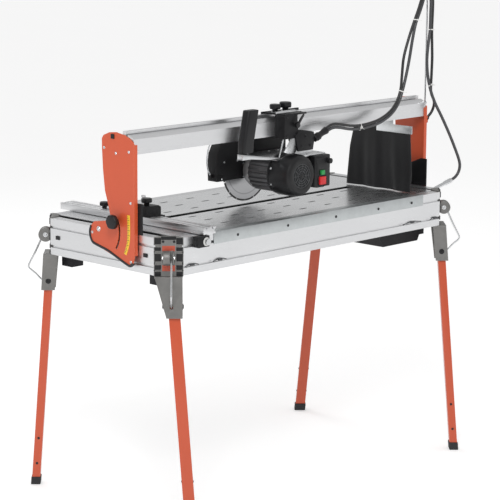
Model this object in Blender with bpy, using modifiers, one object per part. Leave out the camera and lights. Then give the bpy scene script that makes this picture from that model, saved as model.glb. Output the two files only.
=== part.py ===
"""Bridge saw for wet-cutting tiles and masonry on four folding legs.

Metres, +Z up.  +X runs along the bridge, -Y is the operator's side, and the
origin is on the floor under the middle of the frame.
"""
import math

import bmesh
import bpy
from mathutils import Matrix, Vector

# ---------------------------------------------------------------- dimensions
GAP = 0.0003                  # clearance between touching parts
HALF_X, HALF_Y = 0.780, 0.3436
CHAMFER = 0.0724              # rails stop this far from the virtual corner
FRAME_Z0, FRAME_Z1 = 0.9065, 1.039
RAIL_T = 0.040
GROOVE = 0.007

LEG_X, LEG_Y = 0.740, 0.333   # leg axis at the bracket's lower edge
LEG_SPLAY = 0.111             # metres outwards in Y for each metre down
LEG_W, LEG_D, LEG_WALL = 0.040, 0.030, 0.003
BRACKET_Z = 0.763
PIVOT_Z = 0.800
FOOT_H = 0.030

TABLE_Z = 1.040
TABLE_T = 0.004
TABLE_X, TABLE_Y = 0.715, 0.3031
SLOT_Y, SLOT_W = -0.012, 0.032
SLOT_X0, SLOT_X1 = -0.494, 0.556
HOLE_PITCH, HOLE_L, HOLE_W = 0.1397, 0.040, 0.010
HOLE_ROWS = (0.065, 0.147, 0.230)

PLATE_X, PLATE_T = 0.800, 0.003
TILT_R = 0.107                # radius of the tilt slot about the tilt axis
KNOB_ANGLE = 22.0
BEAM_Y0, BEAM_Y1 = -0.1915, -0.135
BEAM_Z0, BEAM_Z1 = 1.320, 1.398

BLADE_X, BLADE_Z, BLADE_R, BLADE_T = -0.054, 1.179, 0.125, 0.0024
HEAD_PIVOT = Vector((0.075, -0.163, 1.290))
CURTAIN_X = 0.600

ORANGE = (0.80, 0.13, 0.03)
ALU = (0.72, 0.73, 0.74)
STEEL = (0.55, 0.56, 0.57)
GREY = (0.30, 0.30, 0.31)
BLACK = (0.02, 0.02, 0.022)

# ------------------------------------------------------------------ clean up
for old in list(bpy.data.objects):
    bpy.data.objects.remove(old, do_unlink=True)

PARTS = bpy.data.collections.new("bridge_saw")
CUTTERS = bpy.data.collections.new("cutters")
for group in (PARTS, CUTTERS):
    bpy.context.scene.collection.children.link(group)

MATERIALS = {}


def material(name, colour, roughness, metallic):
    mat = bpy.data.materials.new(name)
    mat.use_nodes = True
    shader = mat.node_tree.nodes["Principled BSDF"]
    shader.inputs["Base Color"].default_value = (*colour, 1.0)
    shader.inputs["Roughness"].default_value = roughness
    shader.inputs["Metallic"].default_value = metallic
    MATERIALS[name] = mat


for entry in (("orange_paint", ORANGE, 0.4, 0.0), ("aluminium", ALU, 0.35, 1.0),
              ("galvanised", (0.62, 0.64, 0.65), 0.4, 1.0), ("cast_grey", (0.42, 0.42, 0.41), 0.5, 0.6),
              ("steel", STEEL, 0.3, 1.0), ("motor_grey", GREY, 0.5, 0.4),
              ("black_plastic", BLACK, 0.5, 0.0), ("black_alloy", BLACK, 0.45, 0.5),
              ("rubber", (0.015, 0.015, 0.015), 0.8, 0.0),
              ("hose_grey", (0.12, 0.12, 0.13), 0.5, 0.0), ("blade_steel", (0.5, 0.5, 0.5), 0.35, 1.0),
              ("start_green", (0.03, 0.35, 0.08), 0.4, 0.0), ("stop_red", (0.6, 0.02, 0.02), 0.4, 0.0),
              ("clear_tube", (0.8, 0.82, 0.84), 0.2, 0.0), ("stainless", (0.75, 0.76, 0.77), 0.3, 1.0)):
    material(*entry)


# ------------------------------------------------------------- mesh builders
def add(name, bm, mat=None, cutter=False):
    """Turn a bmesh in world coordinates into an object of the right group."""
    bmesh.ops.remove_doubles(bm, verts=bm.verts, dist=1e-6)
    bmesh.ops.recalc_face_normals(bm, faces=bm.faces)
    mesh = bpy.data.meshes.new(name)
    bm.to_mesh(mesh)
    bm.free()
    obj = bpy.data.objects.new(name, mesh)
    (CUTTERS if cutter else PARTS).objects.link(obj)
    if cutter:
        obj.hide_render = True
        obj.display_type = "WIRE"
    elif mat:
        mesh.materials.append(MATERIALS[mat])
    return obj


def loft(rings):
    """Closed solid through rings of equal length, capped at both ends."""
    bm = bmesh.new()
    rows = [[bm.verts.new(p) for p in ring] for ring in rings]
    count = len(rows[0])
    for low, high in zip(rows, rows[1:]):
        for i in range(count):
            j = (i + 1) % count
            bm.faces.new((low[i], low[j], high[j], high[i]))
    bm.faces.new(rows[0])
    bm.faces.new(rows[-1])
    return bm


def box(lo, hi):
    lo, hi = Vector(lo), Vector(hi)
    bm = bmesh.new()
    bmesh.ops.create_cube(bm, size=1.0, matrix=Matrix.LocRotScale((lo + hi) / 2, None, hi - lo))
    return bm


def axes_for(direction):
    """Two unit vectors square to a direction."""
    w = Vector(direction).normalized()
    u = w.orthogonal().normalized()
    if abs(w.z) < 0.9:
        u = Vector((0, 0, 1)).cross(w).normalized()
    return u, w.cross(u), w


def stand(place, direction):
    """Matrix that moves the origin to a place and turns +Z to a direction."""
    turn = Matrix(axes_for(direction)).transposed()
    return Matrix.Translation(place) @ turn.to_4x4()


def turned(profile, start, direction, sides=24):
    """Solid of revolution: profile is (distance along, radius) pairs for a Screw modifier."""
    points = [(profile[0][0], 0), *profile, (profile[-1][0], 0)]
    mesh = bpy.data.meshes.new("profile")
    mesh.from_pydata([(radius, 0, along) for along, radius in points],
                     [(i, i + 1) for i in range(len(points) - 1)], [])
    holder = bpy.data.objects.new("profile", mesh)
    CUTTERS.objects.link(holder)
    screw = holder.modifiers.new("screw", "SCREW")
    screw.steps = screw.render_steps = sides
    screw.use_merge_vertices = True
    screw.merge_threshold = 0.00001
    seen = holder.evaluated_get(bpy.context.evaluated_depsgraph_get())
    bm = bmesh.new()
    bm.from_mesh(seen.to_mesh())
    seen.to_mesh_clear()
    bpy.data.objects.remove(holder)
    bpy.data.meshes.remove(mesh)
    bm.transform(stand(start, direction))
    return bm


def rod(a, b, radius, sides=16):
    a, b = Vector(a), Vector(b)
    bm = bmesh.new()
    bmesh.ops.create_cone(bm, cap_ends=True, segments=sides, radius1=radius, radius2=radius,
                          depth=(b - a).length, matrix=stand((a + b) / 2, b - a))
    return bm


def flat(outline, lo, hi, axis, holes=()):
    """Flat part from a 2D outline with holes, lying square to one axis.

    The outline is (Y, Z) for axis X, (X, Z) for axis Y and (X, Y) for axis Z.
    """
    curve = bpy.data.curves.new("outline", "CURVE")
    curve.dimensions = "2D"
    curve.fill_mode = "BOTH"
    curve.extrude = (hi - lo) / 2
    for loop in (outline, *holes):
        spline = curve.splines.new("POLY")
        spline.points.add(len(loop) - 1)
        for point, (a, b) in zip(spline.points, loop):
            point.co = (a, b, 0, 1)
        spline.use_cyclic_u = True
    holder = bpy.data.objects.new("outline", curve)
    mesh = bpy.data.meshes.new_from_object(holder)
    bm = bmesh.new()
    bm.from_mesh(mesh)
    bpy.data.objects.remove(holder)
    bpy.data.curves.remove(curve)
    bpy.data.meshes.remove(mesh)
    mid = (lo + hi) / 2
    rows = {"X": ((0, 0, 1, mid), (1, 0, 0, 0), (0, 1, 0, 0)),
            "Y": ((1, 0, 0, 0), (0, 0, 1, mid), (0, 1, 0, 0)),
            "Z": ((1, 0, 0, 0), (0, 1, 0, 0), (0, 0, 1, mid))}[axis]
    bm.transform(Matrix((*rows, (0, 0, 0, 1))))
    bmesh.ops.remove_doubles(bm, verts=bm.verts, dist=1e-6)
    return bm


def arc(cx, cy, radius, a0, a1, steps):
    return [(cx + radius * math.cos(math.radians(a0 + (a1 - a0) * i / steps)),
             cy + radius * math.sin(math.radians(a0 + (a1 - a0) * i / steps))) for i in range(steps + 1)]


def boolean(target, operation, name, bm):
    cutter = add(name, bm, cutter=True)
    mod = target.modifiers.new(name, "BOOLEAN")
    mod.operation = operation
    mod.solver = "EXACT"
    mod.object = cutter


def join(target, name, bm):
    boolean(target, "UNION", name, bm)


def cut(target, name, bm):
    boolean(target, "DIFFERENCE", name, bm)


def bevel(obj, width, segments=2, angle=50):
    mod = obj.modifiers.new("bevel", "BEVEL")
    mod.width = width
    mod.segments = segments
    mod.limit_method = "ANGLE"
    mod.angle_limit = math.radians(angle)


def smooth_path(points, spacing):
    """Centripetal Catmull-Rom curve through the points, evenly resampled."""
    pts = [Vector(p) for p in points]
    pts = [pts[0] * 2 - pts[1]] + pts + [pts[-1] * 2 - pts[-2]]
    dense = []
    for p0, p1, p2, p3 in zip(pts, pts[1:], pts[2:], pts[3:]):
        t0 = 0.0
        t1 = t0 + (p1 - p0).length ** 0.5
        t2 = t1 + (p2 - p1).length ** 0.5
        t3 = t2 + (p3 - p2).length ** 0.5
        for i in range(24):
            t = t1 + (t2 - t1) * i / 24
            a1 = p0 * ((t1 - t) / (t1 - t0)) + p1 * ((t - t0) / (t1 - t0))
            a2 = p1 * ((t2 - t) / (t2 - t1)) + p2 * ((t - t1) / (t2 - t1))
            a3 = p2 * ((t3 - t) / (t3 - t2)) + p3 * ((t - t2) / (t3 - t2))
            b1 = a1 * ((t2 - t) / (t2 - t0)) + a2 * ((t - t0) / (t2 - t0))
            b2 = a2 * ((t3 - t) / (t3 - t1)) + a3 * ((t - t1) / (t3 - t1))
            dense.append(b1 * ((t2 - t) / (t2 - t1)) + b2 * ((t - t1) / (t2 - t1)))
    dense.append(pts[-2].copy())
    total = sum((b - a).length for a, b in zip(dense, dense[1:]))
    count = max(2, round(total / spacing))
    result, travelled, target = [dense[0]], 0.0, total / count
    for a, b in zip(dense, dense[1:]):
        step = (b - a).length
        while step and travelled + step >= target - 1e-9 and len(result) < count:
            result.append(a.lerp(b, (target - travelled) / step))
            target += total / count
        travelled += step
    return result + [dense[-1]]


def tube(name, points, radius, mat, resolution=2):
    curve = bpy.data.curves.new(name, "CURVE")
    curve.dimensions = "3D"
    curve.bevel_depth = radius
    curve.bevel_resolution = resolution
    curve.use_fill_caps = True
    spline = curve.splines.new("POLY")
    spline.points.add(len(points) - 1)
    for point, co in zip(spline.points, points):
        point.co = (*co, 1)
    obj = bpy.data.objects.new(name, curve)
    curve.materials.append(MATERIALS[mat])
    PARTS.objects.link(obj)
    return obj


def knob(name, start, direction, radius, depth, mat="black_plastic", stem=None, lobes=6):
    """Hand knob with soft lobes; the optional stem is (radius, length) behind it."""
    u, v, w = axes_for(direction)
    start = Vector(start)
    rings = []
    if stem:
        rings += [(-stem[1], stem[0], 0), (0, stem[0], 0)]
    rings += [(0, radius * 0.45, 0), (depth * 0.35, radius * 0.5, 0), (depth * 0.4, radius * 0.93, 1),
              (depth * 0.55, radius, 1), (depth * 0.9, radius, 1), (depth, radius * 0.88, 1)]
    sides = lobes * 4
    loops = []
    for along, r, lobed in rings:
        loop = []
        for i in range(sides):
            a = 2 * math.pi * i / sides
            rr = r * (1 - 0.07 * lobed * (1 - math.cos(a * lobes)) / 2)
            loop.append(start + w * along + (u * math.cos(a) + v * math.sin(a)) * rr)
        loops.append(loop)
    return add(name, loft(loops), mat)


def rig(name, location, children, parent=None):
    """Empty on a joint's axis, with the moving parts under it."""
    pivot = bpy.data.objects.new(name, None)
    pivot.location = location
    pivot.empty_display_size = 0.05
    PARTS.objects.link(pivot)
    if parent:
        pivot.parent = parent
        pivot.location = Vector(location) - ORIGINS[parent.name]
    ORIGINS[name] = Vector(location)
    for child in children:
        child.parent = pivot
        child.location = child.location - Vector(location)
    return pivot


ORIGINS = {}

# ---------------------------------------------------------------- the frame
FRAME_H = FRAME_Z1 - FRAME_Z0
RAIL_PROFILE = [(0, 0), (0, 0.026), (GROOVE, 0.026), (GROOVE, 0.036), (0, 0.036), (0, 0.096),
                (GROOVE, 0.096), (GROOVE, 0.106), (0, 0.106), (0, FRAME_H), (RAIL_T, FRAME_H),
                (RAIL_T, 0)]

RAIL_HOLLOW = [(0.010, 0.004), (0.010, FRAME_H - 0.004), (RAIL_T - 0.003, FRAME_H - 0.004),
               (RAIL_T - 0.003, 0.004)]

for name, side, half, along in (("rail_front", -1, HALF_Y, "X"), ("rail_rear", 1, HALF_Y, "X"),
                                ("rail_left", -1, HALF_X, "Y"), ("rail_right", 1, HALF_X, "Y")):
    reach = (HALF_X if along == "X" else HALF_Y) - CHAMFER - GAP
    outline, hollow = ([(side * (half - d), FRAME_Z0 + z) for d, z in loop]
                       for loop in (RAIL_PROFILE, RAIL_HOLLOW))
    add(name, flat(outline, -reach, reach, along, [hollow]), "aluminium")

CORNERS = {"fl": (-1, -1), "fr": (1, -1), "rl": (-1, 1), "rr": (1, 1)}
RIBS = ((0.9032, 0.9215), (0.9268, 0.9447), (0.956, 0.9845), (0.993, 1.007), (1.016, 1.042))
WIRE_T = 0.010                # the latch wire's place across the corner
HUB = (0.0357, 0.966)         # latch hinge: distance outwards, height


def leg_axis(sx, sy, z):
    return Vector((sx * LEG_X, sy * (LEG_Y + (BRACKET_Z - z) * LEG_SPLAY), z))


for key, (sx, sy) in CORNERS.items():
    out = Vector((sx, sy, 0)) / math.sqrt(2)
    across = Vector((-sy, sx, 0)) / math.sqrt(2)
    middle = Vector((sx * (HALF_X - CHAMFER / 2), sy * (HALF_Y - CHAMFER / 2), 0))
    turn = sx * sy

    def at(n, t, z):
        return middle + out * n + across * t + Vector((0, 0, z))

    def block(n0, n1, t0, t1, z0, z1):
        return loft([[at(n0, t0, z), at(n1, t0, z), at(n1, t1, z), at(n0, t1, z)] for z in (z0, z1)])

    rings = []
    for index, (z0, z1) in enumerate(RIBS):
        levels = [(z0, 0.0), (z1, 0.0)]
        if index + 1 < len(RIBS):
            levels += [(z1, 0.004), (RIBS[index + 1][0], 0.004)]
        for z, inset in levels:
            edge = CHAMFER - GAP
            near = edge - inset / 2
            plan = [(near, inset), (edge, RAIL_T), (RAIL_T, edge), (inset, near)]
            rings.append([(sx * (HALF_X - a), sy * (HALF_Y - b), z) for a, b in plan])
    corner = add("corner_" + key, loft(rings), "cast_grey")
    join(corner, "strip_" + key, block(-0.015, 0.003, -0.025, 0.025, 0.9045, 1.0405))
    join(corner, "drum_" + key, rod(at(0.021, -0.018, 0.972), at(0.021, 0.018, 0.972), 0.026, 20))
    join(corner, "cap_" + key, block(-0.026, 0.0275, -0.0485, 0.0485, 0.9002, 0.9062))
    channel = []
    for z, centre, half, n1, n0 in ((0.9055, 0.0, 0.048, 0.028, -0.024),
                                    (BRACKET_Z, 0.0208 * turn, 0.028, 0.040, -0.010)):
        w = 0.004
        shape = [(n1, -half), (n1, half), (n0, half), (n0, half - w), (n1 - w, half - w),
                 (n1 - w, w - half), (n0, w - half), (n0, -half)]
        channel.append([at(n, centre + t, z) for n, t in shape])
    join(corner, "channel_" + key, loft(channel))
    wire_t = WIRE_T * turn
    cut(corner, "hub_slot_" + key, block(0.012, 0.060, wire_t - 0.0055, wire_t + 0.0055, 0.930, 1.002))
    cut(corner, "hook_hole_" + key, rod(at(0.020, wire_t, 0.801), at(0.050, wire_t, 0.801), 0.0065, 12))

    # folding leg: a sheared tube so that its foot is level on the floor
    def leg_ring(z, half_w, half_d):
        c = leg_axis(sx, sy, z)
        return [c + out * n + across * t for n, t in ((-half_d, -half_w), (half_d, -half_w),
                                                      (half_d, half_w), (-half_d, half_w))]

    leg = add("leg_" + key, loft([leg_ring(FOOT_H + GAP, LEG_W / 2, LEG_D / 2),
                                  leg_ring(PIVOT_Z + 0.006, LEG_W / 2, LEG_D / 2),
                                  leg_ring(PIVOT_Z + 0.012, LEG_W / 2, LEG_D / 2 - 0.006)]), "orange_paint")
    cut(leg, "leg_hollow_" + key, loft([leg_ring(z, LEG_W / 2 - LEG_WALL, LEG_D / 2 - LEG_WALL - 0.004)
                                        for z in (FOOT_H + 0.010, PIVOT_Z + 0.020)]))
    foot = add("foot_" + key, loft([leg_ring(0.0, LEG_W / 2 + 0.003, LEG_D / 2 + 0.003),
                                    leg_ring(FOOT_H, LEG_W / 2 + 0.003, LEG_D / 2 + 0.003)]), "rubber")
    rig("leg_axis_" + key, leg_axis(sx, sy, PIVOT_Z), [leg, foot])

    route = [HUB, (0.0395, 0.950), (0.0600, 0.9055), (0.0845, 0.8570), (0.0866, 0.8490),
             (0.0830, 0.8420), (0.0600, 0.8225), (0.0440, 0.8050), (0.0390, 0.8012), (0.0325, 0.8005)]
    wire = tube("latch_" + key, [at(n, wire_t, z) for n, z in route], 0.0034, "steel")
    rig("latch_axis_" + key, at(HUB[0], wire_t, HUB[1]), [wire])

# ---------------------------------------------------------- table and tray
holes = [arc(SLOT_X1 - SLOT_W / 2, SLOT_Y, SLOT_W / 2, -90, 90, 4)
         + arc(SLOT_X0 + SLOT_W / 2, SLOT_Y, SLOT_W / 2, 90, 270, 4)]
for row in HOLE_ROWS:
    for side in (-1, 1):
        for column in range(7):
            cx, cy, r = -0.3885 + HOLE_PITCH * column, row * side, HOLE_W / 2
            reach = HOLE_L / 2 - r
            holes.append(arc(cx + reach, cy, r, -60, 60, 2) + arc(cx - reach, cy, r, 120, 240, 2))


def octagon(hx, hy, c):
    return [(c - hx, -hy), (hx - c, -hy), (hx, c - hy), (hx, hy - c), (hx - c, hy), (c - hx, hy),
            (-hx, hy - c), (-hx, c - hy)]


add("table", flat(octagon(TABLE_X, TABLE_Y, 0.012), TABLE_Z - TABLE_T, TABLE_Z, "Z", holes), "stainless")

tray_top = TABLE_Z - TABLE_T - GAP
tray = add("water_tray", flat(octagon(0.7395, 0.3030, 0.034), 0.908, tray_top, "Z"), "black_plastic")
join(tray, "sump", loft([[(x, y, z) for x, y in ((0.400 + e, -0.285), (0.680 - e, -0.285),
                                                 (0.680 - e, -0.100), (0.400 + e, -0.100))]
                         for z, e in ((0.846, 0.035), (0.912, 0.0))]))
for sx in (-1, 1):
    for sy in (-1, 1):
        xs = sorted((sx * 0.672, sx * 0.728))
        ys = (0.215, 0.270) if sy > 0 else (-0.250, -0.195)
        join(tray, f"skid_{sx}_{sy}", box((xs[0], ys[0], 0.858), (xs[1], ys[1], 0.912)))
cut(tray, "basin", flat(octagon(0.7345, 0.2980, 0.034), 0.913, tray_top + 0.01, "Z"))
cut(tray, "sump_well", loft([[(x, y, z) for x, y in ((0.406 + e, -0.280), (0.674 - e, -0.280),
                                                     (0.674 - e, -0.105), (0.406 + e, -0.105))]
                             for z, e in ((0.851, 0.034), (0.930, 0.0))]))

splash = [(-HALF_Y - GAP, 0.998), (-HALF_Y - GAP, 1.0393), (-0.3060, 1.0393), (-0.3060, 1.0413),
          (-HALF_Y - 0.0023, 1.0413), (-HALF_Y - 0.0023, 0.998)]
add("splash_strip", flat(splash, -0.560, 0.600, "X"), "galvanised")

# ------------------------------------------------------------ fence and stop
FENCE_X0, FENCE_X1, FENCE_Z0, FENCE_Z1 = -0.632, -0.572, 1.0417, 1.0667
FENCE_MID = (FENCE_X0 + FENCE_X1) / 2
fence_profile = [(FENCE_X0, FENCE_Z0), (FENCE_X1, FENCE_Z0), (FENCE_X1, FENCE_Z0 + 0.008),
                 (FENCE_X1 - 0.006, FENCE_Z0 + 0.008), (FENCE_X1 - 0.006, FENCE_Z0 + 0.017),
                 (FENCE_X1, FENCE_Z0 + 0.017), (FENCE_X1, FENCE_Z1)]
for cx in (FENCE_MID + 0.015, FENCE_MID - 0.015):
    fence_profile += [(cx + 0.004, FENCE_Z1), (cx + 0.004, FENCE_Z1 - 0.008),
                      (cx - 0.004, FENCE_Z1 - 0.008), (cx - 0.004, FENCE_Z1)]
fence_profile += [(FENCE_X0, FENCE_Z1)]
add("fence_rail", flat(fence_profile, -0.366, 0.385, "Y"), "aluminium")

stop = add("fence_stop", flat([(-0.628, 1.067), (-0.566, 1.067), (-0.566, 1.048), (-0.556, 1.048),
                               (-0.556, 1.098), (-0.566, 1.104), (-0.628, 1.104)],
                              -0.075, -0.025, "Y"), "black_plastic")
bevel(stop, 0.002)
stop_knob = knob("stop_knob", (-0.600, -0.046, 1.1045), (0, 0, 1), 0.021, 0.026)
rear_knob = knob("fence_knob", (FENCE_MID, 0.175, FENCE_Z1 + GAP), (0, 0, 1), 0.019, 0.024)
clamp = add("fence_clamp", box((-0.662, -0.372, 1.000), (-0.6075, -HALF_Y - GAP, 1.0395)), "black_plastic")
bevel(clamp, 0.002)
screw = knob("clamp_screw", (-0.624, -0.3723, 1.019), (0, -1, 0), 0.0125, 0.012, "steel", lobes=5)
stop_rig = rig("stop_slide_axis", (FENCE_MID, -0.050, FENCE_Z1), [stop])
rig("stop_knob_axis", (-0.600, -0.046, 1.1045), [stop_knob], stop_rig)
rig("fence_knob_axis", (FENCE_MID, 0.175, FENCE_Z1), [rear_knob])
rig("clamp_screw_axis", (-0.624, -0.372, 1.019), [screw])

# --------------------------------------------------------------- the bridge
TILT_AXIS = Vector((0, SLOT_Y, TABLE_Z))
plate_outline = (
    [(-0.1950, 0.962), (-0.1950, 1.357), (-0.1850, 1.3680), (-0.1500, 1.3840), (-0.1050, 1.3915),
     (-0.0700, 1.3880), (-0.0400, 1.3760), (-0.0310, 1.3640), (-0.0315, 1.3300), (-0.0360, 1.2550),
     (-0.0455, 1.1800), (-0.0640, 1.1270), (-0.0735, 1.0920), (-0.0640, 1.0760)]
    + arc(SLOT_Y, 1.0225, 0.0470, 62, -52, 9) + [(-0.1500, 0.9340), (-0.1720, 0.9285), (-0.1880, 0.9380)])


def polar(angle, radius):
    a = math.radians(angle)
    return (SLOT_Y - radius * math.cos(a), TABLE_Z + radius * math.sin(a))


slot_hole = ([polar(26 - 60 * i / 14, TILT_R + 0.0045) for i in range(15)]
             + [polar(-34 + 60 * i / 14, TILT_R - 0.0045) for i in range(15)])
bridge_parts = []
knob_y, knob_z = polar(KNOB_ANGLE, TILT_R)
for name, side in (("left", -1), ("right", 1)):
    lo, hi = sorted((side * PLATE_X, side * (PLATE_X - PLATE_T)))
    plate = add("end_plate_" + name, flat(plate_outline, lo, hi, "X", [slot_hole]), "orange_paint")
    lo, hi = sorted((side * (PLATE_X - 0.001), side * (PLATE_X - 0.016)))
    join(plate, "flange_" + name, box((lo, -0.1950, 0.966), (hi, -0.1920, 1.354)))
    if side > 0:
        pad = box((PLATE_X - 0.001, -0.1945, 1.2920), (0.8062, -0.1775, 1.3180))
        join(plate, "entry_pad", pad)
        join(plate, "entry_gland", rod((0.8045, -0.1862, 1.3056), (0.8152, -0.1862, 1.3131), 0.0070))
    bridge_parts.append(plate)
    lo, hi = sorted((side * 0.7830, side * 0.7770))
    post = [(-0.2150, 1.0395), (0.0200, 1.0395), (0.0200, 1.0580), (-0.0750, 1.0600), (-0.0900, 1.1100),
            (-0.1850, 1.1500), (-0.2150, 1.1500)]
    add("tilt_bracket_" + name, flat(post, lo, hi, "X"), "black_alloy")
    tilt_knob = knob("tilt_knob_" + name, (side * (PLATE_X + 0.0060), knob_y, knob_z), (side, 0, 0),
                     0.0265, 0.030, stem=(0.0037, PLATE_X + 0.0060 - 0.7833))
    rig("tilt_knob_axis_" + name, (side * PLATE_X, knob_y, knob_z), [tilt_knob])

beam_profile = [(BEAM_Y0, BEAM_Z0), (BEAM_Y0, 1.373), (-0.166, 1.386), (-0.160, 1.386), (-0.160, 1.378),
                (-0.151, 1.378), (-0.151, BEAM_Z1), (BEAM_Y1, BEAM_Z1), (BEAM_Y1, BEAM_Z0)]
beam_end = PLATE_X - PLATE_T - GAP
beam_hollow = [(BEAM_Y0 + 0.004, BEAM_Z0 + 0.004), (BEAM_Y0 + 0.004, 1.370), (BEAM_Y1 - 0.004, 1.370),
               (BEAM_Y1 - 0.004, BEAM_Z0 + 0.004)]
bridge_parts.append(add("beam", flat(beam_profile, -beam_end, beam_end, "X", [beam_hollow]), "aluminium"))
hang = [(-0.285, 1.272), (-0.105, 1.272), (-0.105, 1.303), (-0.137, 1.303), (-0.137, 1.3197),
        (-0.1895, 1.3197), (-0.1895, 1.303), (-0.285, 1.303)]
strip = flat(hang, CURTAIN_X - 0.0050, CURTAIN_X - 0.0018, "X")
bridge_parts.append(add("curtain_strip", strip, "galvanised"))
drop = [(-0.285, 1.043), (0.045, 1.043), (0.032, 1.200), (0.010, 1.300), (-0.272, 1.300)]
bridge_parts.append(add("curtain", flat(drop, CURTAIN_X - 0.0015, CURTAIN_X + 0.0015, "X"), "rubber"))

POST = Vector((0.8065, -0.178, 0))
post_route = [POST + Vector((0, 0, 1.325)), POST + Vector((0, 0, 1.400)), POST + Vector((0, 0, 1.560)),
              POST + Vector((0, 0, 1.700)), (0.8050, -0.179, 1.752), (0.7920, -0.188, 1.790),
              (0.7700, -0.203, 1.812), (0.7500, -0.217, 1.818)]
bridge_parts.append(tube("hose_post", smooth_path(post_route, 0.030), 0.0035, "steel"))
bridge = rig("tilt_axis", TILT_AXIS, bridge_parts)

# ------------------------------------------------------------- the carriage
back_wall = box((-0.095, BEAM_Y1 + 0.0005, 1.3105), (0.105, -0.1265, 1.4050))
carriage = add("carriage", back_wall, "black_alloy")
join(carriage, "floor", box((-0.095, -0.2000, 1.3105), (0.105, -0.1270, BEAM_Z0 - 0.0005)))
join(carriage, "roof", box((-0.085, -0.2420, BEAM_Z1 + 0.0005), (0.030, -0.1270, 1.4045)))
join(carriage, "front", flat([(-0.088, 1.3120), (0.065, 1.3120), (0.062, 1.3300), (-0.015, 1.3420),
                              (-0.020, 1.4040), (-0.080, 1.4040), (-0.088, 1.3960)],
                             -0.2420, BEAM_Y0 - 0.0005, "Y"))
join(carriage, "cheek", flat([(-0.020, 1.3350), (-0.036, 1.3200), (-0.020, 1.2620), (0.060, 1.2620),
                              (0.068, 1.3000), (0.064, 1.3290)], -0.2490, -0.2410, "Y"))
for y0, y1 in ((-0.2000, -0.1920), (-0.1345, -0.1265)):
    lug = [(0.050, 1.3120), *arc(HEAD_PIVOT.x, HEAD_PIVOT.z, 0.018, 180, 360, 10), (0.100, 1.3120)]
    join(carriage, f"lug_{y0}", flat(lug, y0, y1, "Y"))
knob_a = knob("carriage_knob_a", (-0.062, -0.168, 1.4048), (0, 0, 1), 0.0220, 0.030)
knob_b = knob("carriage_knob_b", (-0.006, -0.168, 1.4048), (0, 0, 1), 0.0240, 0.034)
lever = add("lock_lever", rod((-0.034, -0.2493, 1.362), (-0.034, -0.2610, 1.362), 0.010), "black_plastic")
join(lever, "lever_arm", loft([[(x, y, z) for y, z in ((-0.2600, 1.3560), (-0.2520, 1.3560),
                                                       (-0.2520, 1.3680), (-0.2600, 1.3680))]
                               if x < -0.02 else
                               [(x, y, z) for y, z in ((-0.2590, 1.3960), (-0.2530, 1.3960),
                                                       (-0.2530, 1.4050), (-0.2590, 1.4050))]
                               for x in (-0.034, 0.000)]))
stop_rod = add("stop_rod", rod((-0.0800, -0.2280, 1.3108), (-0.1020, -0.2280, 1.2437), 0.003, 12), "steel")
GLAND_A, GLAND_B = Vector((0.064, -0.2420, 1.2955)), Vector((0.136, -0.2450, 1.3270))
gland_len = (GLAND_B - GLAND_A).length
gland = add("cable_gland", turned([(0.0105, 0.0130), (0.022, 0.0130), (0.022, 0.0150), (0.036, 0.0150),
                                   (0.036, 0.0120), (gland_len * 0.7, 0.0110), (gland_len, 0.0145)],
                                  GLAND_A, GLAND_B - GLAND_A, 16), "black_plastic")
carriage_rig = rig("carriage_axis", (0.0, -0.163, BEAM_Z0), [carriage, stop_rod, gland], bridge)
rig("knob_a_axis", (-0.062, -0.168, 1.4045), [knob_a], carriage_rig)
rig("knob_b_axis", (-0.006, -0.168, 1.4045), [knob_b], carriage_rig)
rig("lever_axis", (-0.034, -0.249, 1.362), [lever], carriage_rig)

# ------------------------------------------------------------ the saw head
arm = add("head_arm", box((-0.125, -0.2360, 1.2360), (0.145, -0.0480, 1.2425)), "aluminium")
join(arm, "barrel_web", flat([(0.020, 1.2400), (0.120, 1.2400),
                              *arc(HEAD_PIVOT.x, HEAD_PIVOT.z, 0.0165, 0, 180, 8)], -0.1915, -0.1350, "Y"))
join(arm, "grip_bar", flat([(-0.3050, 1.2760), (-0.3050, 1.2550), (-0.2600, 1.2550), (-0.1100, 1.2365),
                            (-0.1100, 1.2420), (-0.1300, 1.2480)], -0.2360, -0.2100, "Y"))
grip = add("grip", loft([[(cx + x, -0.2260 + y, z) for x, y in ((-0.028, -0.012), (-0.022, -0.018),
                          (0.022, -0.018), (0.028, -0.012), (0.028, 0.012), (0.022, 0.018),
                          (-0.022, 0.018), (-0.028, 0.012))]
                         for cx, z in ((-0.2780, 1.2785), (-0.2775, 1.3100), (-0.2520, 1.4340))]),
           "black_plastic")

guard_out = [(-0.2400, 1.1480), (-0.2440, 1.2080), (-0.2380, 1.2520), (-0.2180, 1.2880), (-0.1880, 1.3100),
             (-0.1500, 1.3180), (0.0900, 1.3180), (0.1200, 1.3050), (0.1350, 1.2750), (0.1350, 1.2000),
             (0.1200, 1.1600), (0.1000, 1.1480)]
guard_in = [(-0.2000, 1.1000), (-0.2365, 1.1400), (-0.2405, 1.2080), (-0.2347, 1.2505), (-0.2155, 1.2850),
            (-0.1868, 1.3065), (-0.1495, 1.3140), (0.0885, 1.3140), (0.1172, 1.3022), (0.1315, 1.2740),
            (0.1315, 1.2010), (0.1172, 1.1625), (0.0960, 1.1400), (0.0960, 1.1000)]
guard = add("guard", flat(guard_out, -0.0420, 0.0040, "Y"), "black_plastic")
cut(guard, "guard_hollow", flat(guard_in, -0.0390, 0.0010, "Y"))
cut(guard, "shaft_hole", rod((BLADE_X, -0.0500, BLADE_Z), (BLADE_X, -0.0300, BLADE_Z), 0.0170, 20))
water = tube("guard_tube", smooth_path([(-0.2058, -0.0190, 1.3020), (-0.2110, -0.0190, 1.3090),
                                        (-0.2350, -0.0190, 1.3070), (-0.2600, -0.0190, 1.2740),
                                        (-0.2680, -0.0190, 1.2280), (-0.2620, -0.0190, 1.1900),
                                        (-0.2490, -0.0190, 1.1700)], 0.012), 0.0025, "clear_tube")

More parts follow.
